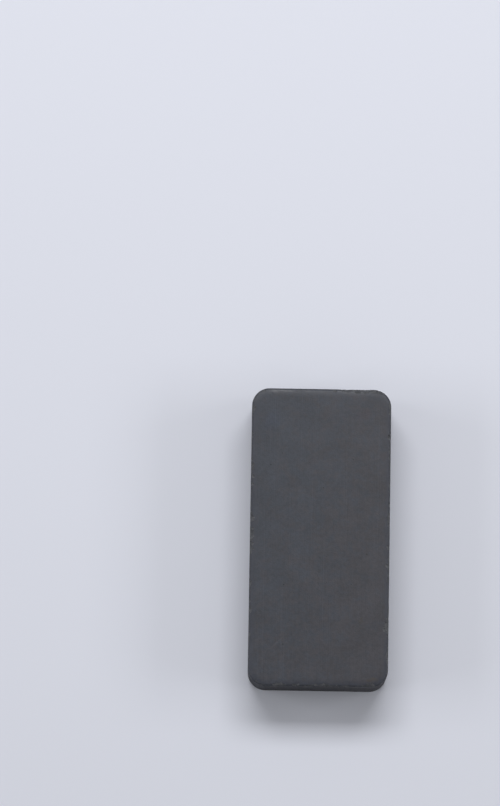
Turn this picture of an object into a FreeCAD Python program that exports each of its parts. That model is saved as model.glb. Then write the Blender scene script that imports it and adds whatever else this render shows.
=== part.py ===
import FreeCAD, Part
import math
import os
from typing import NamedTuple

# A block magnet: one piece of hard ceramic ferrite. The powder is pressed in a die, which gives the straight
# sides and the rounded upright corners. The block is then sintered, ground flat on its two pole faces and
# tumbled with many others. Tumbling rounds the rims of the pole faces in two ways: tightly next to the side
# walls, and in a long flat shoulder on the pole face. Ferrite is brittle, so both rims are also chipped.
#
# Millimetres. The magnet lies on one pole face. X runs across its width, Y along its length, and Z through its
# thickness, which is also the way it is magnetised. The origin is the middle of the pole face that it lies on.

LENGTH = 47.625
WIDTH = 22.225
THICKNESS = 9.525
CORNER_RADIUS = 2.8
RIM_RADIUS = 0.4  # the tight rounding, next to the side walls
SHOULDER_RADIUS = 7.0  # the long flat rounding, next to the pole faces
SHOULDER_FALL = math.radians(8)  # how steeply the shoulder falls away where the tight rounding takes over

UP = FreeCAD.Vector(0, 0, 1)
TOUCH = 0.0001  # points nearer than this are the same

# How far in from the walls the pole face ends, and how far below the pole face the walls end.
RIM_REACH = RIM_RADIUS + (SHOULDER_RADIUS - RIM_RADIUS) * math.sin(SHOULDER_FALL)
RIM_DROP = SHOULDER_RADIUS - (SHOULDER_RADIUS - RIM_RADIUS) * math.cos(SHOULDER_FALL)


class Chip(NamedTuple):
    """A shell-shaped flake that is missing from a rounded rim."""

    run: float  # how far along the rim it lies, clockwise seen from above, from the middle of the far (+Y) end
    chord: float  # the length of rim that it takes
    depth: float  # how deep it goes
    lean: float  # degrees: 0 faces out of the side wall, 90 out of the pole face


UPPER_CHIPS = [
    Chip(run=4.1, chord=2.2, depth=0.26, lean=38),  # far end, right half: the deepest, with two beside it
    Chip(run=6.4, chord=2.9, depth=0.20, lean=44),
    Chip(run=9.4, chord=1.5, depth=0.16, lean=42),
    Chip(run=26.4, chord=2.8, depth=0.15, lean=32),  # right side, long and shallow
    Chip(run=30.4, chord=1.3, depth=0.16, lean=36),
    Chip(run=38.2, chord=0.9, depth=0.12, lean=52),
    Chip(run=48.0, chord=1.4, depth=0.14, lean=72),  # right side, mostly on the pole face
    Chip(run=59.3, chord=1.7, depth=0.20, lean=50),  # near end
    Chip(run=66.0, chord=1.2, depth=0.14, lean=48),
    Chip(run=73.4, chord=0.9, depth=0.12, lean=44),
    Chip(run=93.6, chord=0.8, depth=0.11, lean=45),
    Chip(run=99.3, chord=1.7, depth=0.19, lean=42),  # left side, three that run together
    Chip(run=101.5, chord=2.0, depth=0.34, lean=40),
    Chip(run=104.1, chord=1.3, depth=0.24, lean=44),
    Chip(run=121.5, chord=1.0, depth=0.13, lean=50),
]

LOWER_CHIPS = [
    Chip(run=11.0, chord=1.5, depth=0.17, lean=48),
    Chip(run=35.6, chord=2.3, depth=0.20, lean=40),
    Chip(run=37.5, chord=1.2, depth=0.15, lean=52),
    Chip(run=62.8, chord=1.8, depth=0.19, lean=45),
    Chip(run=84.9, chord=1.1, depth=0.14, lean=50),
    Chip(run=112.7, chord=2.6, depth=0.17, lean=42),
]


def around(centre, radius, degrees):
    """The point at an angle on a level circle."""
    angle = math.radians(degrees)
    return centre + FreeCAD.Vector(radius * math.cos(angle), radius * math.sin(angle), 0)


def plan_outline():
    """The sharp-edged plan, clockwise seen from above, as the lines and quarter rounds of one closed wire."""
    start = FreeCAD.Vector(0, LENGTH / 2, 0)
    edges = []
    last = start
    for turn, (side, end) in enumerate([(1, 1), (1, -1), (-1, -1), (-1, 1)]):
        centre = FreeCAD.Vector(side * (WIDTH / 2 - CORNER_RADIUS), end * (LENGTH / 2 - CORNER_RADIUS), 0)
        first, middle, final = (around(centre, CORNER_RADIUS, 90 - 90 * turn - swing) for swing in (0, 45, 90))
        edges.append(Part.LineSegment(last, first).toShape())
        edges.append(Part.Arc(first, middle, final).toShape())
        last = final
    edges.append(Part.LineSegment(last, start).toShape())
    return edges


def section_point(inward, down, upper):
    """A point of the far end's section: how far in from the wall it lies, and how far from the nearer pole face."""
    height = THICKNESS - down if upper else down
    return FreeCAD.Vector(0, LENGTH / 2 - inward, height)


def rounding(inward, down, radius, falls, upper):
    """An arc of the section about a centre, from where the surface falls by the first angle to the second."""
    points = [
        section_point(inward - radius * math.sin(fall), down - radius * math.cos(fall), upper)
        for fall in (falls[0], sum(falls) / 2, falls[1])
    ]
    return Part.Arc(*points).toShape()


def skirt_section():
    """The section of the far end, from one pole face over its rim, down the wall and over the other rim."""
    shoulders, rims = [], []
    for upper in (True, False):
        shoulders.append(rounding(RIM_REACH, SHOULDER_RADIUS, SHOULDER_RADIUS, (0, SHOULDER_FALL), upper))
        rims.append(rounding(RIM_RADIUS, RIM_DROP, RIM_RADIUS, (SHOULDER_FALL, math.pi / 2), upper))
    wall = Part.LineSegment(section_point(0, RIM_DROP, True), section_point(0, RIM_DROP, False)).toShape()
    return Part.Wire([shoulders[0], rims[0], wall, rims[1], shoulders[1]])


def pole_face(skirt, height):
    """The flat face that closes the skirt at a height."""
    border = [edge for edge in skirt.Edges if all(abs(vertex.Z - height) < TOUCH for vertex in edge.Vertexes)]
    return Part.Face(Part.Wire(Part.sortEdges(border)[0]))


def tumbled_block(outline):
    """The whole block: its section carried round its plan, and closed by the two pole faces."""
    skirt = Part.Wire(outline).makePipeShell([skirt_section()], False, False)
    faces = [*skirt.Faces, pole_face(skirt, 0), pole_face(skirt, THICKNESS)]
    return Part.Solid(Part.Shell(faces)).removeSplitter()


def rim_place(outline, run):
    """The point of the plan at a distance along its outline, and the direction straight out of it there."""
    left = run % sum(edge.Length for edge in outline)
    for edge in outline:
        if left <= edge.Length:
            at = edge.getParameterByLength(left)
            return edge.valueAt(at), edge.tangentAt(at).cross(UP) * -1
        left -= edge.Length


def scoop(outline, chip, height, away):
    """The ball that takes one chip out of the rim at a height; away points up or down, out of the pole face."""
    place, outward = rim_place(outline, chip.run)
    lean = math.radians(chip.lean)
    aim = outward * math.cos(lean) + away * math.sin(lean)
    rounding_centre = place + UP * height - outward * RIM_RADIUS - away * RIM_DROP
    radius = (chip.chord**2 / 4 + chip.depth**2) / (2 * chip.depth)
    return Part.makeSphere(radius, rounding_centre + aim * (RIM_RADIUS + radius - chip.depth))


def magnet_block():
    outline = plan_outline()
    upper = [scoop(outline, chip, THICKNESS, UP) for chip in UPPER_CHIPS]
    lower = [scoop(outline, chip, 0, UP * -1) for chip in LOWER_CHIPS]
    return tumbled_block(outline).cut(upper + lower)


def main():
    os.makedirs("parts", exist_ok=True)
    magnet = magnet_block()
    magnet.exportStep("parts/magnet_block.step")
    box = magnet.optimalBoundingBox(False)
    print("solids", len(magnet.Solids), "valid", magnet.isValid(), "faces", len(magnet.Faces))
    print("size mm", round(box.XLength, 3), round(box.YLength, 3), round(box.ZLength, 3))
    print("volume mm3", round(magnet.Volume, 2))


main()
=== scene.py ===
# %% [markdown]
# # A ferrite block magnet
#
# The object is one piece of ceramic: powder that was pressed in a die, fired, ground flat on its two pole
# faces and tumbled with many others. There is nothing to assemble, so the whole lesson is about surface:
# how the finishes of one material differ, and how a brittle edge breaks.
#
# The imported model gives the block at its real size, with its rims rounded and the large flakes already
# missing. It is loaded first, because everything that follows is measured from it.

# %% Load the block as it was made
import bmesh
import bpy
import math
import random
from mathutils import Matrix, Vector, kdtree, noise
from typing import NamedTuple


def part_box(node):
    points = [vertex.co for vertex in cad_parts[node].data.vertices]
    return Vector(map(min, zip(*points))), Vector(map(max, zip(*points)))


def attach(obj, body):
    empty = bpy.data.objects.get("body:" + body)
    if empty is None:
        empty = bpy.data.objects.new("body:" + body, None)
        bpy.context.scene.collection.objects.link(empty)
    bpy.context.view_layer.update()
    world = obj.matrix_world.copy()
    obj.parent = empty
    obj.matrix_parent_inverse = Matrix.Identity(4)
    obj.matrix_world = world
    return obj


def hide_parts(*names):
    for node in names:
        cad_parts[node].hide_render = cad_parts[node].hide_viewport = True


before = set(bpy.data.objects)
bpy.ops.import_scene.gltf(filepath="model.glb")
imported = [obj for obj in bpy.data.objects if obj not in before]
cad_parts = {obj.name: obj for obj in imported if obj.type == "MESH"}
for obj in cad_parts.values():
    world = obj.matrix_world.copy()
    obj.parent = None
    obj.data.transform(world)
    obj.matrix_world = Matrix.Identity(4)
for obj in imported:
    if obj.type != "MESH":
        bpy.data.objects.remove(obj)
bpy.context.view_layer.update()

MM = 0.001
NODE = "magnet_block"
LOW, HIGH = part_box(NODE)
WIDTH, LENGTH, THICKNESS = HIGH - LOW
HALF = (HIGH - LOW) / 2
MIDDLE = (HIGH + LOW) / 2
print("block, mm:", [round(side / MM, 3) for side in (WIDTH, LENGTH, THICKNESS)])

# %% [markdown]
# ## The camera
#
# The photograph looks almost straight down on a pole face. A long lens far away shows that: opposite edges
# of the block stay nearly parallel. The lens and the place below were found by laying the four edges of the
# block, at its real size, over the four edges in the photograph. The lens is known in pixels, so it is
# turned into Blender's millimetres on a sensor whose width spans the picture's longer side.

# %% The camera
PICTURE_HEIGHT = 806  # pixels
LENS_PIXELS = 4500
SENSOR_MM = 36
CAMERA_PLACE = Vector((-9.74, -81.11, 720.4)) * MM
CAMERA_TILT = math.radians(8.2)
CAMERA_ROLL = math.radians(0.96)


def linked(name, data):
    """A new object in the scene that shows this data."""
    thing = bpy.data.objects.new(name, data)
    bpy.context.scene.collection.objects.link(thing)
    return thing


camera = linked("camera", bpy.data.cameras.new("camera"))
camera.data.sensor_width = SENSOR_MM
camera.data.lens = LENS_PIXELS * SENSOR_MM / PICTURE_HEIGHT
camera.data.clip_start = 10 * MM
camera.location = CAMERA_PLACE
camera.rotation_euler = (CAMERA_TILT, 0, CAMERA_ROLL)
bpy.context.scene.camera = camera
print("lens, mm:", round(camera.data.lens, 1))

# %% [markdown]
# ## The light
#
# Ferrite is nearly black, so half of what the eye reads is reflection: the rim nearest the lamp shows as a
# pale band, and the rim opposite goes dark. One broad soft lamp beyond the far end gives both. It hangs
# close, so its light falls off a little along the block, as it does in the photograph. Two weak lamps keep
# the long rims from going black. The levels, with the surroundings' own, add up to about 1, at which a
# colour renders about as it is written.

# %% Lamps
def softbox(name, elevation, bearing, distance, size, level):
    """A rectangular lamp. level is the light that it gives a level surface, bearing is clockwise from +Y."""
    up, turn = math.radians(elevation), math.radians(bearing)
    toward = Vector((math.sin(turn) * math.cos(up), math.cos(turn) * math.cos(up), math.sin(up)))
    lamp = linked(name, bpy.data.lights.new(name, "AREA"))
    lamp.data.shape = "RECTANGLE"
    lamp.data.size, lamp.data.size_y = size
    lamp.data.energy = level * (math.pi * distance) ** 2 / math.sin(up)
    lamp.location = toward * distance
    lamp.rotation_euler = toward.to_track_quat("Z", "Y").to_euler()


softbox("key_lamp", elevation=56, bearing=0, distance=0.55, size=(0.46, 0.17), level=0.56)
softbox("left_lamp", elevation=27, bearing=-90, distance=0.8, size=(0.5, 0.2), level=0.12)
softbox("right_lamp", elevation=27, bearing=90, distance=0.8, size=(0.5, 0.2), level=0.12)

# %% [markdown]
# ## Floor and surroundings
#
# The picture wants a pale floor, but a pale floor throws light back up, and the near end of the block would
# lose its darkness. A Light Path node settles it: the floor looks pale to the camera and in reflections,
# and lights everything else as if it were grey. The surroundings are a plain weak light from all round.

# %% Floor
FLOOR_HALF = 2.0  # half the floor's side, in metres

floor_form = bmesh.new()
bmesh.ops.create_grid(floor_form, x_segments=1, y_segments=1, size=FLOOR_HALF)
floor_mesh = bpy.data.meshes.new("floor")
floor_form.to_mesh(floor_mesh)
floor_form.free()
floor = linked("floor", floor_mesh)
print("floor, m square:", 2 * FLOOR_HALF)

# %% Floor finish
FLOOR_SEEN = (0.70, 0.72, 0.80, 1)
FLOOR_GIVEN = (0.28, 0.29, 0.31, 1)
MIX_SHARE, MIX_FIRST, MIX_SECOND, MIX_RESULT = 0, 6, 7, 2  # a Mix node's sockets when it mixes colours

floor_finish = bpy.data.materials.new("floor")
floor_finish.use_nodes = True
floor_tree = floor_finish.node_tree
rays = floor_tree.nodes.new("ShaderNodeLightPath").outputs
seen = rays["Is Camera Ray"]
for kind in ("Is Glossy Ray", "Is Transmission Ray"):
    either = floor_tree.nodes.new("ShaderNodeMath")
    either.operation = "MAXIMUM"
    floor_tree.links.new(seen, either.inputs[0])
    floor_tree.links.new(rays[kind], either.inputs[1])
    seen = either.outputs[0]
floor_tone = floor_tree.nodes.new("ShaderNodeMix")
floor_tone.data_type = "RGBA"
floor_tree.links.new(seen, floor_tone.inputs[MIX_SHARE])
floor_tone.inputs[MIX_FIRST].default_value = FLOOR_GIVEN
floor_tone.inputs[MIX_SECOND].default_value = FLOOR_SEEN
floor_shader = floor_tree.nodes["Principled BSDF"].inputs
floor_tree.links.new(floor_tone.outputs[MIX_RESULT], floor_shader["Base Color"])
floor_shader["Roughness"].default_value = 0.9
floor_mesh.materials.append(floor_finish)
print("floor as seen:", FLOOR_SEEN[:3], "as a giver of light:", FLOOR_GIVEN[:3])

# %% Surroundings
WORLD_LEVEL = 0.22

world = bpy.data.worlds.new("world")
world.use_nodes = True
sky = world.node_tree.nodes["Background"].inputs
sky["Strength"].default_value = WORLD_LEVEL
sky["Color"].default_value = (1, 1, 1, 1)
bpy.context.scene.world = world
bpy.context.scene.view_settings.view_transform = "Standard"
print("surroundings:", WORLD_LEVEL, "shown as:", bpy.context.scene.view_settings.view_transform)

# %% [markdown]
# ## Writing materials by hand
#
# A material is a small circuit. A few helpers keep the circuits readable: one adds a node and wires its
# inputs, others calculate, blend or make noise, and the last two make and place a group, which is a circuit
# in a box with named sockets. Whatever more than one finish needs is such a group, built once and placed in
# each finish with its own values.

# %% Add a node and calculate
def add(tree, kind, wires=(), **settings):
    """A new node. wires gives each input a value or a socket that feeds it; settings are the node's own."""
    node = tree.nodes.new("ShaderNode" + kind)
    for key, value in settings.items():
        setattr(node, key, value)
    for key, value in dict(wires).items():
        if isinstance(value, bpy.types.NodeSocket):
            tree.links.new(value, node.inputs[key])
        else:
            node.inputs[key].default_value = value
    return node


def calc(tree, operation, *values):
    """The result of a Math node."""
    return add(tree, "Math", enumerate(values), operation=operation).outputs[0]


def vector_calc(tree, operation, *values):
    """The vector that a Vector Math node makes."""
    return add(tree, "VectorMath", enumerate(values), operation=operation).outputs["Vector"]


# %% Blend and stretch
def blend_colours(tree, share, first, second, mode="MIX"):
    """A colour part of the way from first to second."""
    wires = {MIX_SHARE: share, MIX_FIRST: first, MIX_SECOND: second}
    return add(tree, "Mix", wires, data_type="RGBA", blend_type=mode).outputs[MIX_RESULT]


def blend_values(tree, share, first, second):
    """A number part of the way from first to second. A Mix node takes numbers at its sockets 2 and 3."""
    return add(tree, "Mix", {0: share, 2: first, 3: second}, data_type="FLOAT").outputs[0]


def stretch(tree, value, low, high, to_low=0.0, to_high=1.0):
    """value carried smoothly from the range low..high to to_low..to_high, and held at its ends."""
    wires = {"Value": value, "From Min": low, "From Max": high, "To Min": to_low, "To Max": to_high}
    return add(tree, "MapRange", wires, interpolation_type="SMOOTHSTEP").outputs["Result"]


# %% Noise of a real size
NOISE_RANGE = (0.25, 0.75)  # a Noise node's values seldom lie outside this


def counted_in(tree, where, size):
    """A place, counted in steps of a size."""
    scale = calc(tree, "DIVIDE", 1.0, size)
    return add(tree, "VectorMath", {0: where, 3: scale}, operation="SCALE").outputs[0]


def clouds(tree, where, detail=3.0, roughness=0.6):
    """Noise from 0 to 1 over a place that is counted in the clouds' own size."""
    wires = {"Vector": where, "Scale": 1.0, "Detail": detail, "Roughness": roughness}
    return stretch(tree, add(tree, "TexNoise", wires).outputs[0], *NOISE_RANGE)


# %% Make and place a group
def new_group(name, inputs, outputs):
    """An empty shader group, its inputs and its outputs. inputs gives each socket's kind and value."""
    group = bpy.data.node_groups.new(name, "ShaderNodeTree")
    for label, (kind, value) in inputs.items():
        socket = group.interface.new_socket(label, in_out="INPUT", socket_type="NodeSocket" + kind)
        socket.default_value = value
    for label in outputs:
        group.interface.new_socket(label, in_out="OUTPUT", socket_type="NodeSocketFloat")
    return group, group.nodes.new("NodeGroupInput").outputs, group.nodes.new("NodeGroupOutput").inputs


def place(tree, group, **wires):
    """The outputs of one use of a group. An input's name is written with _ for each space."""
    node = tree.nodes.new("ShaderNodeGroup")
    node.node_tree = group
    for key, value in wires.items():
        socket = node.inputs[key.replace("_", " ")]
        if isinstance(value, bpy.types.NodeSocket):
            tree.links.new(value, socket)
        else:
            socket.default_value = value
    return node.outputs


# %% [markdown]
# ## What the finishes share
#
# Fired ferrite has a fine grain, a mottling a few grains wide, and over several millimetres its tone drifts
# like a thin cloud. Tools leave fine parallel lines: the grinding wheel along the pole faces, and the die
# down the walls. Here and there a grain has dropped out and left a pore, whose hollow is darkened with
# painted shade. Images could carry all this, but they would stretch round the corners and blur close up,
# and noise in space does neither. So each of these is a group that reads a place on the block in metres,
# and a size in it is a real size.

# %% Sintered grain
NO_PLACE = ("Vector", (0, 0, 0))
GRAIN_LAYERS = (  # a mask, the input that gives its size, and its noise's detail
    ("Speckle", "Grain", 2.0),
    ("Mottle", "Mottle", 3.0),
    ("Cloud", "Cloud", 2.0),
)
TINT_WIDTH = 2.4  # how many mottles wide a patch of a cooler or warmer tint is
ELSEWHERE = (37.0, 11.0, 5.0)  # moves the tint's noise away from the mottle's


def grain_group():
    inputs = {"Place": NO_PLACE, "Grain": ("Float", 0.1 * MM), "Mottle": ("Float", 1 * MM),
              "Cloud": ("Float", 6 * MM)}
    group, given, made = new_group("sintered grain", inputs, ("Speckle", "Mottle", "Cloud", "Tint"))
    for label, size, detail in GRAIN_LAYERS:
        counted = counted_in(group, given["Place"], given[size])
        group.links.new(clouds(group, counted, detail), made[label])
    patch = calc(group, "MULTIPLY", given["Mottle"], TINT_WIDTH)
    shifted = vector_calc(group, "ADD", counted_in(group, given["Place"], patch), ELSEWHERE)
    group.links.new(clouds(group, shifted, 3.0, 0.7), made["Tint"])
    return group


GRAIN = grain_group()
print(GRAIN.name, "nodes:", len(GRAIN.nodes))

# %% Tool lines
SCORE_SPACING = 2.5  # how many tool lines apart the scores may be
SCORE_RANGE = (0.68, 0.76)  # only the highest noise is a score


def lines_group():
    inputs = {"Place": NO_PLACE, "Spacing": ("Vector", (0.1 * MM, 20 * MM, 0.1 * MM))}
    group, given, made = new_group("tool lines", inputs, ("Lines", "Score"))
    spread = vector_calc(group, "DIVIDE", given["Place"], given["Spacing"])
    group.links.new(clouds(group, spread, 3.0, 0.7), made["Lines"])
    sparse = add(group, "TexNoise", {"Vector": spread, "Scale": 1 / SCORE_SPACING, "Detail": 0.0})
    group.links.new(stretch(group, sparse.outputs[0], *SCORE_RANGE), made["Score"])
    return group


TOOL_LINES = lines_group()
print(TOOL_LINES.name, "nodes:", len(TOOL_LINES.nodes))

# %% Open pores
PORE_BORDER = 0.03  # how soft a pore's border is, counted in the pores' spacing


def pores_group():
    inputs = {"Place": NO_PLACE, "Spacing": ("Float", 1 * MM), "Size": ("Float", 0.12)}
    group, given, made = new_group("open pores", inputs, ("Pore",))
    counted = counted_in(group, given["Place"], given["Spacing"])
    cells = add(group, "TexVoronoi", {"Vector": counted, "Scale": 1.0})
    luck = add(group, "SeparateColor", {"Color": cells.outputs["Color"]}).outputs[0]
    share = calc(group, "POWER", luck, 2.0)  # squared, so that most pores are small
    radius = calc(group, "MULTIPLY", given["Size"], share)
    inside = calc(group, "SUBTRACT", radius, cells.outputs["Distance"])
    group.links.new(stretch(group, inside, 0.0, PORE_BORDER), made["Pore"])
    return group


PORES = pores_group()
print(PORES.name, "nodes:", len(PORES.nodes))

# %% [markdown]
# ## Wear follows the form
#
# Tumbling polishes what sticks out, which on a block is the rim of each pole face. A mask for that has to
# know the shape. Ambient occlusion or pointiness would guess at it, but a rounded block has an exact
# answer: the distance to its sharp outline is a short formula, so the group works it out at each place.

# %% Distance to the rim
CORNER = 2.8 * MM  # the radius of the upright corners
FRAY = 1.1 * MM  # how large the bays in the worn band's border are
FULLY_WORN, UNWORN = 0.2, 1.1  # distances to the rim, counted in the wear's reach


def rim_group():
    inputs = {"Place": NO_PLACE, "Reach": ("Float", 1.2 * MM), "Ragged": ("Float", 0.5)}
    group, given, made = new_group("rim wear", inputs, ("Wear",))
    folded = vector_calc(group, "ABSOLUTE", vector_calc(group, "SUBTRACT", given["Place"], tuple(MIDDLE)))
    core = (HALF.x - CORNER, HALF.y - CORNER, HALF.z)
    beyond = add(group, "SeparateXYZ", {0: vector_calc(group, "SUBTRACT", folded, core)}).outputs
    outside = add(group, "CombineXYZ", {0: calc(group, "MAXIMUM", beyond[0], 0.0),
                                        1: calc(group, "MAXIMUM", beyond[1], 0.0)}).outputs[0]
    outside = add(group, "VectorMath", {0: outside}, operation="LENGTH").outputs["Value"]
    inside = calc(group, "MINIMUM", calc(group, "MAXIMUM", beyond[0], beyond[1]), 0.0)
    wall = calc(group, "SUBTRACT", calc(group, "ADD", outside, inside), CORNER)
    to_rim = add(group, "CombineXYZ", {0: wall, 1: beyond[2]}).outputs[0]
    to_rim = add(group, "VectorMath", {0: to_rim}, operation="LENGTH").outputs["Value"]
    uneven = clouds(group, counted_in(group, given["Place"], FRAY), 3.0, 0.65)
    shift = calc(group, "MULTIPLY", calc(group, "SUBTRACT", uneven, 0.5), given["Ragged"])
    near = calc(group, "ADD", calc(group, "DIVIDE", to_rim, given["Reach"]), shift)
    group.links.new(stretch(group, near, FULLY_WORN, UNWORN, 1.0, 0.0), made["Wear"])
    return group


RIM_WEAR = rim_group()
print(RIM_WEAR.name, "nodes:", len(RIM_WEAR.nodes))

# %% [markdown]
# ## Marks on the upper face
#
# The upper face carries a few marks that can be pointed at: two dark specks, two brownish stains, a bluish
# and a warm patch, and two faint scratches. Each is an ellipse with a ragged border, so one group draws
# them all, and a scratch is only a very thin ellipse. Their places are read off the photograph and given in
# millimetres from the middle of the face.

# %% A group for single marks
MARK_FRAY = 0.5 * MM  # how large the bays in a mark's border are
RAGGED = 0.9  # how deep they go, counted in the mark's size
CORE, BORDER = 0.35, 1.15  # where a mark starts to fade and where it ends, counted in its size


def mark_group():
    inputs = {"Place": NO_PLACE, "Centre": NO_PLACE, "Turn": ("Float", 0.0), "Size": ("Vector", (1, 1, 1))}
    group, given, made = new_group("single mark", inputs, ("Mark",))
    from_centre = vector_calc(group, "SUBTRACT", given["Place"], given["Centre"])
    turn = {"Vector": from_centre, "Angle": given["Turn"]}
    turned = add(group, "VectorRotate", turn, rotation_type="Z_AXIS")
    counted = vector_calc(group, "DIVIDE", turned.outputs[0], given["Size"])
    distance = add(group, "VectorMath", {0: counted}, operation="LENGTH").outputs["Value"]
    uneven = clouds(group, counted_in(group, given["Place"], MARK_FRAY), 3.0, 0.7)
    ragged = calc(group, "MULTIPLY_ADD", calc(group, "SUBTRACT", uneven, 0.5), RAGGED, distance)
    group.links.new(stretch(group, ragged, CORE, BORDER, 1.0, 0.0), made["Mark"])
    return group


SINGLE_MARK = mark_group()
print(SINGLE_MARK.name, "nodes:", len(SINGLE_MARK.nodes))

# %% The marks
class Mark(NamedTuple):
    x: float  # the middle, in mm
    y: float
    long: float  # half its length and half its breadth, in mm
    broad: float
    turn: float  # degrees that its length is turned from +X
    tone: tuple  # the colour that it multiplies by
    strength: float


DARK = (0.35, 0.33, 0.33, 1)
BROWN = (1.12, 0.95, 0.70, 1)
BLUE = (0.94, 1.00, 1.10, 1)
PINK = (1.10, 0.99, 1.02, 1)
SCRAPE = (1.35, 1.33, 1.30, 1)
MARKS = [
    Mark(0.1, -3.3, 0.36, 0.22, -25, DARK, 0.40),
    Mark(0.0, -5.5, 0.30, 0.24, 60, DARK, 0.35),
    Mark(6.7, -13.3, 0.75, 0.42, 80, BROWN, 0.55),
    Mark(8.6, -22.6, 0.90, 0.35, 10, BROWN, 0.7),
    Mark(-8.0, 18.3, 2.2, 1.5, 70, BLUE, 0.8),
    Mark(6.7, 19.7, 1.6, 1.1, 15, PINK, 0.8),
    Mark(-6.6, -17.0, 2.1, 0.16, 43, SCRAPE, 0.45),
    Mark(3.1, 9.6, 1.3, 0.12, 97, SCRAPE, 0.3),
]


def marked(tree, where, colour):
    """colour with the upper face's marks in it."""
    for mark in MARKS:
        centre = Vector((mark.x * MM, mark.y * MM, THICKNESS))
        size = Vector((mark.long, mark.broad, 1.0)) * MM
        turn = math.radians(-mark.turn)
        mask = place(tree, SINGLE_MARK, Place=where, Centre=centre, Turn=turn, Size=size)[0]
        toned = blend_colours(tree, 1.0, colour, mark.tone, mode="MULTIPLY")
        colour = blend_colours(tree, calc(tree, "MULTIPLY", mask, mark.strength), colour, toned)
    return colour


print("marks:", len(MARKS))

# %% [markdown]
# ## The ground pole faces
#
# The pole faces are the smoothest part. The wheel has left fine lines along the block, and between them the
# grain shows as a faint mottling. A finish here is a look: a colour, a roughness and a relief in hundredths
# of a millimetre. A helper makes a colour drift by about a tenth each way, because the real block looks
# plain from afar. Near the rim, the wear mask blends each look into the one that tumbling has left there.

# %% A look
class Look(NamedTuple):
    colour: object
    rough: object
    relief: object


def total(tree, start, *parts):
    """start plus each part, a mask and its weight."""
    for mask, weight in parts:
        start = calc(tree, "MULTIPLY_ADD", mask, weight, start)
    return start


def drift(tree, colour, *parts):
    """colour made paler and darker by masks. A mask's weight is how much it changes from its 0 to its 1."""
    share = total(tree, 1 - sum(weight for _, weight in parts) / 2, *parts)
    grey = add(tree, "CombineColor", {0: share, 1: share, 2: share}).outputs[0]
    return blend_colours(tree, 1.0, colour, grey, mode="MULTIPLY")


def blend_looks(tree, share, first, second):
    return Look(blend_colours(tree, share, first.colour, second.colour),
                blend_values(tree, share, first.rough, second.rough),
                blend_values(tree, share, first.relief, second.relief))


# %% Start a material, and wire its look
RELIEF = 0.01 * MM  # what a relief of 1 stands for


def new_finish(name):
    """A material, its circuit and the place on the block that its textures read."""
    finish = bpy.data.materials.new(name)
    finish.use_nodes = True
    return finish, finish.node_tree, add(finish.node_tree, "TexCoord").outputs["Object"]


def wire(finish, look):
    """Feeds a look to the material's shader."""
    tree = finish.node_tree
    shader = tree.nodes["Principled BSDF"]
    bump = add(tree, "Bump", {"Height": look.relief, "Distance": RELIEF, "Strength": 1.0})
    tree.links.new(look.colour, shader.inputs["Base Color"])
    tree.links.new(look.rough, shader.inputs["Roughness"])
    tree.links.new(bump.outputs[0], shader.inputs["Normal"])
    return finish


# %% The block's tone with a painted tint of the light, and the worn look at the rims
COOL = (0.0344, 0.0404, 0.0550, 1)
WARM = (0.0412, 0.0406, 0.0496, 1)
WORN = (0.0375, 0.0414, 0.0560, 1)
TINT_SHIFT = 34 * MM  # how far a patch's tint moves it toward the cool or the warm side
PAINTED_TINT_ALONG = -0.3  # in the painted tint of the light, how much a step along the block counts beside one across it
TONE_HALF = 20 * MM  # how far from the middle the tone is fully cool or warm


def tone_and_painted_light_tint(tree, where, tint):
    """The block's colour: a painted tint of the light, a shade cooler toward its left and far end, with small
    patches of cool and warm.
    """
    across, along, _ = add(tree, "SeparateXYZ", {0: where}).outputs
    # Painted light: the place across and along the block tints the colour cooler toward the left and the far
    # end. The noise adds the ferrite's own patches of cool and warm.
    lean = calc(tree, "MULTIPLY_ADD", calc(tree, "SUBTRACT", tint, 0.5), TINT_SHIFT, across)
    lean = calc(tree, "MULTIPLY_ADD", along, PAINTED_TINT_ALONG, lean)
    return blend_colours(tree, stretch(tree, lean, -TONE_HALF, TONE_HALF), COOL, WARM)


def worn_rim(tree, where):
    sizes = {"Grain": 0.2 * MM, "Mottle": 0.7 * MM, "Cloud": 2.2 * MM}
    speckle, mottle, cloud, _ = place(tree, GRAIN, Place=where, **sizes)
    colour = drift(tree, WORN, (speckle, 0.20), (mottle, 0.16), (cloud, 0.12))
    rough = total(tree, 0.27, (speckle, 0.08), (mottle, 0.12), (cloud, 0.16))
    return Look(colour, rough, total(tree, 0.0, (speckle, 0.8), (mottle, 0.8)))


# %% The ground pole faces
# painted shade: the colour that a pore's hollow is darkened toward
PORE_SHADE = (0.0120, 0.0120, 0.0130, 1)


def ground_face():
    finish, tree, where = new_finish("ground_pole_face")
    sizes = {"Grain": 0.22 * MM, "Mottle": 0.6 * MM, "Cloud": 5 * MM}
    speckle, mottle, cloud, tint = place(tree, GRAIN, Place=where, **sizes)
    lines, score = place(tree, TOOL_LINES, Place=where, Spacing=(0.20 * MM, 16 * MM, 1))
    pore = place(tree, PORES, Place=where, Spacing=1.3 * MM, Size=0.09)[0]
    wear = place(tree, RIM_WEAR, Place=where, Reach=1.0 * MM, Ragged=0.5)[0]
    # the tone carries a painted tint of the light, cooler toward the left and the far end
    colour = drift(tree, tone_and_painted_light_tint(tree, where, tint), (cloud, 0.20), (mottle, 0.24), (speckle, 0.14),
                   (lines, 0.12), (score, 0.06))
    # painted shade in the pores' hollows
    colour = blend_colours(tree, calc(tree, "MULTIPLY", pore, 0.7), marked(tree, where, colour), PORE_SHADE)
    rough = total(tree, 0.46, (lines, 0.07), (mottle, 0.05))
    relief = total(tree, 0.0, (lines, 0.50), (speckle, 0.50), (score, -0.6), (pore, -2.0))
    return wire(finish, blend_looks(tree, wear, Look(colour, rough, relief), worn_rim(tree, where)))


GROUND_FACE = ground_face()
print("nodes in", GROUND_FACE.name, len(GROUND_FACE.node_tree.nodes))

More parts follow.
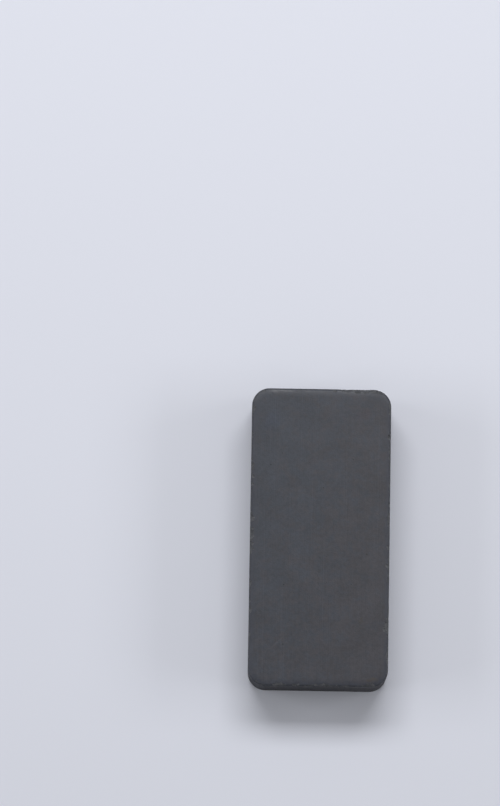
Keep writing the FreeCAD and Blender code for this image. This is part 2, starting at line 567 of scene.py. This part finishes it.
# %% [markdown]
# ## The pressed walls
#
# The walls and the upright corners were never ground. They keep the dull skin of the furnace, and streaks
# from top to bottom where the block slid out of the die. Their colour is also darkened toward near black,
# which is painted shade. The same groups draw them, with other sizes: coarser grain, wider clouds, and tool
# lines that run along Z.

# %% The pressed walls
# painted shade: every wall's colour is darkened a quarter of the way toward this near black
PAINTED_WALL_SHADE = (0.0120, 0.0122, 0.0140, 1)


def pressed_wall():
    finish, tree, where = new_finish("pressed_wall")
    sizes = {"Grain": 0.25 * MM, "Mottle": 1.1 * MM, "Cloud": 4 * MM}
    speckle, mottle, cloud, tint = place(tree, GRAIN, Place=where, **sizes)
    lines, score = place(tree, TOOL_LINES, Place=where, Spacing=(0.28 * MM, 0.28 * MM, 14 * MM))
    pore = place(tree, PORES, Place=where, Spacing=0.9 * MM, Size=0.13)[0]
    wear = calc(tree, "MULTIPLY", place(tree, RIM_WEAR, Place=where, Reach=1.1 * MM, Ragged=0.6)[0], 0.7)
    # painted light: the tone carries a painted tint, cooler toward the left and far end, and is darkened a
    # quarter of the way toward near black as painted shade
    shaded_skin = blend_colours(tree, 0.25, tone_and_painted_light_tint(tree, where, tint), PAINTED_WALL_SHADE)
    colour = drift(tree, shaded_skin, (cloud, 0.36), (mottle, 0.30), (speckle, 0.26), (lines, 0.34), (score, 0.20))
    # painted shade in the pores' hollows
    colour = blend_colours(tree, calc(tree, "MULTIPLY", pore, 0.8), colour, PORE_SHADE)
    rough = total(tree, 0.68, (mottle, 0.18), (lines, 0.16))
    relief = total(tree, 0.0, (lines, 1.8), (speckle, 0.9), (mottle, 2.6), (score, -2.0), (pore, -2.5))
    return wire(finish, blend_looks(tree, wear, Look(colour, rough, relief), worn_rim(tree, where)))


PRESSED_WALL = pressed_wall()
print("nodes in", PRESSED_WALL.name, len(PRESSED_WALL.node_tree.nodes))

# %% [markdown]
# ## Broken grain and open pits
#
# Where a flake has come away the grain is bare, which looks rougher and mostly a shade lighter, with small
# glints. A pit in a face is older than that: it was there in the furnace, so it is dull, and its hollow is
# darkened with painted shade. No tool has touched either, so the grain group alone draws them, as a strong
# speckle with a relief of its own.

# %% Broken grain and open pits
BROKEN_DARK = (0.0370, 0.0390, 0.0460, 1)
BROKEN_PALE = (0.0780, 0.0810, 0.0900, 1)
# painted shade: the dark colour of a pit's hollow
PIT_SHADE = (0.0200, 0.0205, 0.0225, 1)


def broken_grain():
    finish, tree, where = new_finish("broken_grain")
    speckle, mottle, _, _ = place(tree, GRAIN, Place=where, Grain=0.10 * MM, Mottle=0.6 * MM)
    colour = drift(tree, blend_colours(tree, mottle, BROKEN_DARK, BROKEN_PALE), (speckle, 0.5))
    return wire(finish, Look(colour, total(tree, 0.48, (speckle, 0.25)), total(tree, 0.0, (speckle, 1.6))))


def open_pit():
    finish, tree, where = new_finish("open_pit")
    speckle = place(tree, GRAIN, Place=where, Grain=0.08 * MM)[0]
    # painted shade inside the pit
    colour = drift(tree, PIT_SHADE, (speckle, 0.4))
    return wire(finish, Look(colour, total(tree, 0.7, (speckle, 0.1)), speckle))


FINISHES = [GROUND_FACE, PRESSED_WALL, broken_grain(), open_pit()]
GROUND, WALL, BROKEN, PIT = range(4)
print("finishes:", [finish.name for finish in FINISHES])

# %% [markdown]
# ## The surface before it broke
#
# To tell broken faces from whole ones, and to give the whole ones their true normals later, the script asks
# of any point: how deep is it under the surface of the whole, tumbled block, and which way is out? A ray shot
# at a whole block would tell too, but only as finely as that block's facets, and a formula is exact. In plan
# the block is a rectangle with round corners. In section, a rim is two arcs: a long flat shoulder that
# leaves the pole face, and a tight rounding that meets the wall. The angle at which a point is seen from
# each arc's centre tells which of them it belongs to.

# %% The nearest wall
def wall_above(point):
    """(inward, outward): how far inside the walls a point lies, and the level way out to the nearest."""
    across, along = point.x - MIDDLE.x, point.y - MIDDLE.y
    sign = Vector((math.copysign(1, across), math.copysign(1, along), 0))
    beyond = Vector((abs(across) - HALF.x + CORNER, abs(along) - HALF.y + CORNER, 0))
    if beyond.x > 0 and beyond.y > 0:
        return CORNER - beyond.length, beyond.normalized() * sign
    if beyond.x > beyond.y:
        return CORNER - beyond.x, Vector((sign.x, 0, 0))
    return CORNER - beyond.y, Vector((0, sign.y, 0))


# %% Depth under the whole block's surface
RIM = 0.4 * MM  # the radius of the tight rounding
SHOULDER = 7.0 * MM  # the radius of the long flat one
SHOULDER_FALL = math.radians(8)  # how steeply the shoulder falls away where the tight rounding takes over
REACH = RIM + (SHOULDER - RIM) * math.sin(SHOULDER_FALL)  # how far in from the walls the pole face ends
DROP = SHOULDER - (SHOULDER - RIM) * math.cos(SHOULDER_FALL)  # how far below the pole face the walls end
UP = Vector((0, 0, 1))


def under_surface(point):
    """(depth, outward): how far a point lies under the whole surface, and the way out from there."""
    inward, outward = wall_above(point)
    up = UP * math.copysign(1, point.z - MIDDLE.z)
    down = HALF.z - abs(point.z - MIDDLE.z)
    fall = math.atan2(REACH - inward, SHOULDER - down)
    if fall <= 0:
        return down, up
    if fall <= SHOULDER_FALL:
        depth = SHOULDER - math.hypot(REACH - inward, SHOULDER - down)
        return depth, outward * math.sin(fall) + up * math.cos(fall)
    fall = math.atan2(RIM - inward, DROP - down)
    if fall >= math.pi / 2:
        return inward, outward
    return RIM - math.hypot(RIM - inward, DROP - down), outward * math.sin(fall) + up * math.cos(fall)


for label, probe in (("pole face", Vector((0, 0, THICKNESS))), ("wall", Vector((HALF.x, 0, HALF.z)))):
    probe_depth, way = under_surface(probe)
    print(label, "depth, mm:", round(probe_depth / MM, 4), "outward:", [round(value, 2) for value in way])

# %% [markdown]
# ## A copy to work on
#
# The block could be modelled again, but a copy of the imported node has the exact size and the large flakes
# already. The node is loose triangles, so the copy is merged first, and triangles that lie in one plane are
# joined again. Each face then gets its finish: broken where it lies deeper than the whole surface or is
# turned away from it, ground on the pole faces and their shoulders, and pressed elsewhere.

# %% Merge the copy and sort its faces
MERGE = 0.0001 * MM  # points nearer than this are one
FACET_SAG = 0.013 * MM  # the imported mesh's flat facets lie up to this far under the round surface
FACET_TURN = math.radians(13)  # and are turned up to this far from it
FLAT_TURN = math.radians(0.2)  # faces turned less than this from each other lie in one plane


def finish_of(face):
    depth, outward = under_surface(face.calc_center_median())
    if depth > FACET_SAG or face.normal.angle(outward) > FACET_TURN:
        return BROKEN
    return GROUND if abs(outward.z) > math.cos(2 * SHOULDER_FALL) else WALL


block_form = bmesh.new()
block_form.from_mesh(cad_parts[NODE].data)
bmesh.ops.remove_doubles(block_form, verts=block_form.verts, dist=MERGE)
bmesh.ops.dissolve_limit(block_form, angle_limit=FLAT_TURN, verts=block_form.verts, edges=block_form.edges)
for face in block_form.faces:
    face.material_index = finish_of(face)
for number, finish in enumerate(FINISHES):
    print(finish.name, sum(face.material_index == number for face in block_form.faces), "faces")
print("open edges:", sum(not edge.is_manifold for edge in block_form.edges))

# %% [markdown]
# ## Ripples in the flakes
#
# Ferrite breaks like glass or flint. The crack starts at one point of the edge and runs out in shells, so
# the scar has faint ripples round that point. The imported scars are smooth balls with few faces. Each is
# diced into cells of a tenth of a millimetre, and its inner points are pushed in and out: a ripple that
# fades away from the start of the crack, and some roughness from noise. Points on the scar's border stay,
# so that it still meets the skin.

# %% Find and dice the flakes
CELL = 0.11 * MM  # the size of the cells that the flakes are diced into


def patches(form, finish):
    """The faces of a finish, as lists of faces that hang together."""
    found = []
    taken = set()
    for first in form.faces:
        if first.material_index != finish or first in taken:
            continue
        taken.add(first)
        patch = [first]
        for face in patch:  # the list grows while it is walked
            for other in (other for edge in face.edges for other in edge.link_faces):
                if other.material_index == finish and other not in taken:
                    taken.add(other)
                    patch.append(other)
        found.append(patch)
    return found


def dice(form, faces, cell):
    """Cuts faces along level and upright planes, a cell apart, and returns what they became."""
    for axis in range(3):
        normal = Vector([float(axis == other) for other in range(3)])
        places = [vert.co[axis] for face in faces for vert in face.verts]
        for step in range(math.ceil(min(places) / cell), math.floor(max(places) / cell) + 1):
            parts = dict.fromkeys(part for face in faces for part in (face, *face.edges, *face.verts))
            cut = bmesh.ops.bisect_plane(
                form, geom=list(parts), dist=MERGE, plane_co=normal * step * cell, plane_no=normal
            )
            faces = [part for part in cut["geom"] if isinstance(part, bmesh.types.BMFace)]
    return faces


# %% Ripple a flake
STILL = 1.5 * CELL  # how far the border holds the points beside it
RIPPLE = 0.32 * MM  # from crest to crest
RIPPLE_HEIGHT = 0.014 * MM  # half the way from crest to trough
FADE = 4 * RIPPLE  # how far from the start of the crack the ripples fade
ROUGHNESS = 0.034 * MM
LUMP = 0.35 * MM  # the size of the largest lumps in the roughness
OCTAVES = (0.6, 2.0, 3)  # how fast finer lumps get lower, how much finer each kind is, and how many kinds


def ripple(faces, seed):
    """Pushes a flake's inner points in and out along the flake's own facing, and never out of the block."""
    facing = sum((face.normal * face.calc_area() for face in faces), Vector()).normalized()
    whole = set(faces)
    verts = dict.fromkeys(vert for face in faces for vert in face.verts)
    border = [vert for vert in verts if not whole.issuperset(vert.link_faces)]
    inner = [vert for vert in verts if whole.issuperset(vert.link_faces)]
    tree = kdtree.KDTree(len(border))
    for number, vert in enumerate(border):
        tree.insert(vert.co, number)
    tree.balance()
    start = min(border, key=lambda vert: abs(vert.co.z - MIDDLE.z))
    for vert in inner:
        away = (vert.co - start.co).length
        free = min(1.0, tree.find(vert.co)[2] / STILL)
        wave = RIPPLE_HEIGHT * math.cos(math.tau * away / RIPPLE) * math.exp(-away / FADE)
        rough = ROUGHNESS * noise.fractal(vert.co / LUMP + Vector((seed, 0, 0)), *OCTAVES)
        push = min(free * (wave + rough), under_surface(vert.co)[0] / 2)
        vert.co += facing * push


# %% Ripple them all
FLAKE_SHIFT = 7.3  # how far the noise moves on from flake to flake, so that no two are alike

flakes = []
for patch in patches(block_form, BROKEN):
    if len(patch) > 1:
        flakes.append(patch)
    else:
        patch[0].material_index = WALL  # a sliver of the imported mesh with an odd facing, not a flake
for number, flake in enumerate(flakes):
    ripple(dice(block_form, flake, CELL), number * FLAKE_SHIFT)
flake_borders = [
    vert.co.copy() for vert in block_form.verts
    if len({face.material_index == BROKEN for face in vert.link_faces}) == 2
]
print("flakes:", len(flakes), "points on their borders:", len(flake_borders))
print("faces:", len(block_form.faces))

# %% Make it an object
block_mesh = bpy.data.meshes.new("block_magnet")
for finish in FINISHES:
    block_mesh.materials.append(finish)
block_form.to_mesh(block_mesh)
block_form.free()
for name in ("custom_normal", "sharp_edge"):
    if name in block_mesh.attributes:
        block_mesh.attributes.remove(block_mesh.attributes[name])
block = linked("block_magnet", block_mesh)
print(block.name, "has", len(block_mesh.polygons), "faces")

# %% [markdown]
# ## Nicks, crumbs and pits
#
# Between the large flakes, a tumbled rim is full of small ones. They could be painted on as bump, but then
# the outline would stay perfect, and the outline is what shows. So each is cut: a small rough pebble that
# dips into the surface takes away a shell of the right length and depth. Most sit along the rims, in
# stretches, because a knock loosens its neighbours too. More crumble from the borders of the flakes. A few
# are pits where a grain fell out of a face before the block was fired.

# %% The block's outline
STRAIGHTS = (WIDTH - 2 * CORNER, LENGTH - 2 * CORNER) * 2
QUARTER = CORNER * math.pi / 2
OUTLINE = sum(STRAIGHTS) + 4 * QUARTER


def plan_place(run):
    """The point at a distance along the plan's outline, clockwise, and the way straight out there."""
    left = run % OUTLINE
    for turn, straight in enumerate(STRAIGHTS):
        quarter_turn = Matrix.Rotation(-math.tau * turn / 4, 3, "Z")
        outward, onward = quarter_turn @ Vector((0, 1, 0)), quarter_turn @ Vector((1, 0, 0))
        reach = (HALF.y, HALF.x)[turn % 2]
        if left <= straight:
            return outward * reach + onward * (left - straight / 2), outward
        left -= straight
        if left <= QUARTER:
            out = outward * math.cos(left / CORNER) + onward * math.sin(left / CORNER)
            return outward * (reach - CORNER) + onward * (straight / 2) + out * CORNER, out
        left -= QUARTER
    raise ValueError(run)


# %% A point of a rim
def rim_place(run, side, lean):
    """A point of a rim's tight rounding and the way out there. side is 1 for the upper rim, or -1."""
    plan, out = plan_place(run)
    away = UP * side
    outward = out * math.cos(lean) + away * math.sin(lean)
    return plan + MIDDLE + away * (HALF.z - DROP) - out * RIM + outward * RIM, outward


for label, run in (("far end", 0.0), ("right side", STRAIGHTS[0] + QUARTER)):
    spot, _ = rim_place(run, 1, math.radians(45))
    print(label, "rim point, mm:", [round(value / MM, 2) for value in spot])

# %% Nicks along the rims
chance = random.Random(1875)
QUIET, BUSY = -0.5, 0.4  # the rim stays whole below the first level of noise, and chips above the second
OTHER_RIM = 9.7  # keeps the noise of one rim apart from the other's
LEANS = (12, 80)  # degrees: 0 faces out of the wall, 90 out of the pole face


class Nick(NamedTuple):
    place: Vector  # the point of the whole surface that goes
    outward: Vector
    along: Vector  # the way that the shell is longest
    chord: float  # how wide the shell is
    depth: float
    finish: int


def rim_nicks(count, chords, share, gather):
    """Nicks along both rims. share is depth over chord, and gather the length of a chipped stretch."""
    found = []
    while len(found) < count:
        run, side = chance.uniform(0, OUTLINE), chance.choice((1, -1))
        crowd = noise.noise(Vector((run / gather, side * OTHER_RIM, chords[1] / MM)))
        if crowd < chance.uniform(QUIET, BUSY):
            continue
        spot, outward = rim_place(run, side, math.radians(chance.uniform(*LEANS)))
        chord = chance.uniform(*chords)
        found.append(Nick(spot, outward, outward.cross(UP), chord, chord * chance.uniform(*share), BROKEN))
    return found


# %% Crumbs and pits
CRUMB_MM = (0.15, 0.60)  # how wide a crumb is
CRUMB_SHARE = (0.12, 0.22)  # how deep it is, counted in its width
PIT_MM = (0.08, 0.20)
PIT_SHARE = (0.15, 0.25)
FLAT = 0.93  # the part of a face that a pit may lie in


def border_nicks(count):
    """Nicks that crumble from the borders of the flakes."""
    found = []
    for _ in range(count):
        point = chance.choice(flake_borders)
        depth, outward = under_surface(point)
        chord = chance.uniform(*CRUMB_MM) * MM
        along = outward.orthogonal()
        deep = chord * chance.uniform(*CRUMB_SHARE)
        found.append(Nick(point + outward * depth, outward, along, chord, deep, BROKEN))
    return found


def face_pits(count):
    """Pits in the flats."""
    found = []
    while len(found) < count:
        axis, side = chance.randrange(3), chance.choice((1, -1))
        outward = Vector([float(side * (axis == other)) for other in range(3)])
        spot = Vector([chance.uniform(-FLAT, FLAT) * half for half in HALF])
        spot[axis] = side * HALF[axis]
        chord = chance.uniform(*PIT_MM) * MM
        if under_surface(spot + MIDDLE)[1].dot(outward) > math.cos(FLAT_TURN):
            deep = chord * chance.uniform(*PIT_SHARE)
            found.append(Nick(spot + MIDDLE, outward, outward.orthogonal(), chord, deep, PIT))
    return found


# %% Draw the nicks
nicks = rim_nicks(26, (0.7 * MM, 1.3 * MM), (0.08, 0.13), 16 * MM)
nicks += rim_nicks(190, (0.30 * MM, 0.75 * MM), (0.12, 0.19), 9 * MM)
nicks += rim_nicks(420, (0.10 * MM, 0.28 * MM), (0.14, 0.22), 5 * MM)
nicks += border_nicks(260)
nicks += face_pits(60)
print("nicks:", len(nicks))

# %% [markdown]
# ## One pebble for each nick
#
# The pebbles are cut with the Boolean modifier's manifold solver, which is quick and exact but wants a
# cutter that doesn't cross itself. So they are dealt into batches in which none touches another, and each
# batch is one cut. A pebble is a flattened icosphere, whose faces carry a finish, so the shells that it
# leaves have it too.

# %% Deal the nicks into batches
THICK = 2.2  # half a pebble's thickness, counted in the depth that it cuts
BROAD = 0.5 / math.sqrt(1 - (1 - 1 / THICK) ** 2)  # half its breadth, counted in the width of its shell
LONGEST = 1.35  # the most that a pebble is drawn out along the rim
PEBBLE_GAP = 1.2  # how much larger than itself a pebble counts when the batches are made


def deal(all_nicks):
    """Batches of nicks whose pebbles stay clear of each other."""
    batches = []
    for nick in all_nicks:
        size = PEBBLE_GAP * LONGEST * BROAD * nick.chord
        for batch in batches:
            if all((nick.place - other.place).length > size + other_size for other, other_size in batch):
                batch.append((nick, size))
                break
        else:
            batches.append([(nick, size)])
    return [[nick for nick, _ in batch] for batch in batches]


batches = deal(nicks)
print("batches:", [len(batch) for batch in batches])

# %% A rough pebble
LUMPS = ((0.7, 1.6), (0.5, 4.5))  # the share and the number of large and of small lumps
GRIT = 0.12  # the share of each point's own unevenness
FAR = 99  # each pebble's noise starts somewhere in a cube this large each way


def roughen(verts, amount):
    """Makes a ball of radius 1 lumpy."""
    start = Vector([chance.uniform(-FAR, FAR) for _ in range(3)])
    for vert in verts:
        lump = sum(height * noise.noise(vert.co * count + start) for height, count in LUMPS)
        vert.co *= 1 + amount * (lump + chance.uniform(-GRIT, GRIT))


# %% A batch's cutter
LUMPY = 0.30  # how high the lumps are, counted in the pebble's radius
SPIN = 0.5  # radians that a pebble may be turned each way
FINER = (0.2 * MM, 0.8 * MM)  # a shell wider than each of these gets a pebble one step finer


def cutter(batch):
    """One mesh of pebbles, each longer along the rim than across it."""
    form = bmesh.new()
    for nick in batch:
        across = nick.outward.cross(nick.along).normalized()
        along = across.cross(nick.outward)
        facing = Matrix((along, across, nick.outward)).transposed().to_4x4()
        spin = Matrix.Rotation(chance.uniform(-SPIN, SPIN), 4, "Z")
        longer = chance.uniform(1.0, LONGEST)
        half = Vector((nick.chord * BROAD * longer, nick.chord * BROAD / longer, nick.depth * THICK))
        fineness = 2 + sum(nick.chord > width for width in FINER)
        made = bmesh.ops.create_icosphere(form, subdivisions=fineness, radius=1)["verts"]
        roughen(made, LUMPY)
        for face in {face for vert in made for face in vert.link_faces}:
            face.material_index = nick.finish
        centre = Matrix.Translation(nick.place + nick.outward * (half.z - nick.depth))
        bmesh.ops.transform(form, matrix=centre @ facing @ spin @ Matrix.Diagonal((*half, 1)), verts=made)
    mesh = bpy.data.meshes.new("cutter")
    form.to_mesh(mesh)
    form.free()
    for finish in FINISHES:
        mesh.materials.append(finish)
    return linked("cutter", mesh)


# %% Cut them
def settle(thing):
    """Makes what an object's modifiers do permanent."""
    shown = thing.evaluated_get(bpy.context.evaluated_depsgraph_get())
    mesh = bpy.data.meshes.new_from_object(shown)
    thing.modifiers.clear()
    thing.data = mesh


for batch in batches:
    tool = cutter(batch)
    cut = block.modifiers.new("nicks", "BOOLEAN")
    cut.operation = "DIFFERENCE"
    cut.solver = "MANIFOLD"
    cut.object = tool
    settle(block)
    bpy.data.objects.remove(tool)
print("faces after the cuts:", len(block.data.polygons))

# %% [markdown]
# ## Shading the result
#
# Cutting leaves needles, faces far thinner than a grain, and those are dissolved first. It also leaves long
# thin faces, and normals averaged over those make streaks. The whole surface has a formula, so each corner
# of a pressed or ground face takes its normal from there. Broken faces keep the normals of their own
# facets: smooth inside a shell, with a crease where it turns sharply or meets the skin.

# %% Creases
CREASE = math.radians(32)  # a sharper turn than this shows as an edge

shaded = bmesh.new()
shaded.from_mesh(block.data)
bmesh.ops.triangulate(shaded, faces=shaded.faces)
bmesh.ops.dissolve_degenerate(shaded, dist=MERGE, edges=shaded.edges)
bmesh.ops.triangulate(shaded, faces=shaded.faces)
for face in shaded.faces:
    face.smooth = True
for edge in shaded.edges:
    whole = {face.material_index in (GROUND, WALL) for face in edge.link_faces}
    edge.smooth = len(whole) == 1 and edge.calc_face_angle(0) < CREASE
print("triangles:", len(shaded.faces), "open edges:", sum(not edge.is_manifold for edge in shaded.edges))
shaded.to_mesh(block.data)
shaded.free()

# %% Normals
normals = [corner.vector.copy() for corner in block.data.corner_normals]
for polygon in block.data.polygons:
    if polygon.material_index in (GROUND, WALL):
        for corner in polygon.loop_indices:
            vertex = block.data.loops[corner].vertex_index
            normals[corner] = under_surface(block.data.vertices[vertex].co)[1]
block.data.normals_split_custom_set(normals)
print("corners with a normal of their own:", len(normals))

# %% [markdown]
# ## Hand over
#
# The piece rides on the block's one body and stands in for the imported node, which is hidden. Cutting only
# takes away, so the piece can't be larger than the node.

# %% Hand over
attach(block, "root")
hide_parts(NODE)
